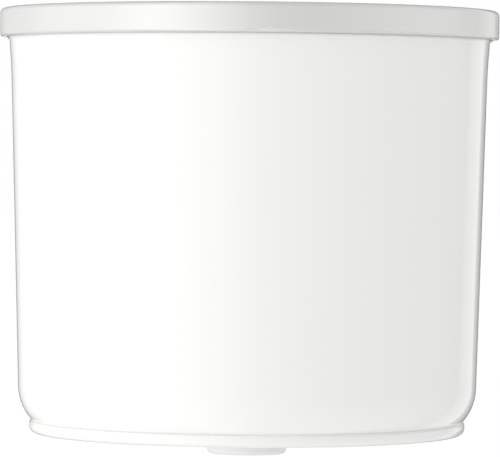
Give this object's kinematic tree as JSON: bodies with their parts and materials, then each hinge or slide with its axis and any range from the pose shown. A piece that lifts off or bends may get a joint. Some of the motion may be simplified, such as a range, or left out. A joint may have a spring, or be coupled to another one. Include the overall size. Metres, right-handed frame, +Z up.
{
  "type": "ice cream maker",
  "caption": "Ice cream maker attachment: insulated freezing bowl on a base ring and locating boss, with a lift-off lid, hinged filler flap and driven dasher.",
  "frame": {"origin": "on the bowl's axis at the foot of the locating boss, the lowest point", "axes": "+Z up along the bowl's axis; the filler flap is on the -Y side, the lid's two grip webs lie along X"},
  "size_m": [0.2, 0.2, 0.1778],
  "materials": {
    "shell_white": "gloss",
    "base_white": "gloss",
    "boss_white": "satin",
    "lid_natural": "satin",
    "steel": "brushed",
    "foam": "matte",
    "jacket_natural": "satin",
    "coolant_gel": "gloss",
    "liner_aluminium": "satin",
    "seal_silicone": "matte",
    "black_rubber": "matte",
    "bushing_plastic": "satin",
    "coupling_plastic": "satin",
    "paddle_white": "satin"
  },
  "bodies": {
    "bowl": {"outer_shell": "shell_white", "base_plate": "base_white", "locating_boss": "boss_white", "base_screws": "steel", "insulation": "foam", "coolant_jacket": "jacket_natural", "coolant": "coolant_gel", "fill_plug": "jacket_natural", "fill_plug_seal": "black_rubber", "inner_bowl": "liner_aluminium", "rim_seal": "seal_silicone", "rim_ring": "base_white"},
    "lid": {"lid": "lid_natural", "lid_seal": "seal_silicone", "shaft_bushing": "bushing_plastic", "shaft_seal": "seal_silicone", "flap_hinge_pin": "steel"},
    "flap": {"filler_flap": "lid_natural"},
    "dasher": {"drive_coupling": "coupling_plastic", "coupling_pin": "steel", "drive_shaft": "steel", "thrust_washer": "bushing_plastic", "paddle": "paddle_white", "paddle_pin": "steel", "scraper_left": "seal_silicone", "scraper_right": "seal_silicone"}
  },
  "joints": [
    {"name": "lid_lift", "type": "slide", "parent": "bowl", "child": "lid", "axis": [0, 0, 1], "range_m": [0, 0.16]},
    {"name": "flap_hinge", "type": "hinge", "parent": "lid", "child": "flap", "pos_m": [0, -0.0242, 0.171], "axis": [-1, 0, 0], "range_deg": [0, 105]},
    {"name": "dasher_spin", "type": "hinge", "parent": "lid", "child": "dasher", "pos_m": [0, 0, 0.1], "axis": [0, 0, 1], "continuous": true}
  ]
}
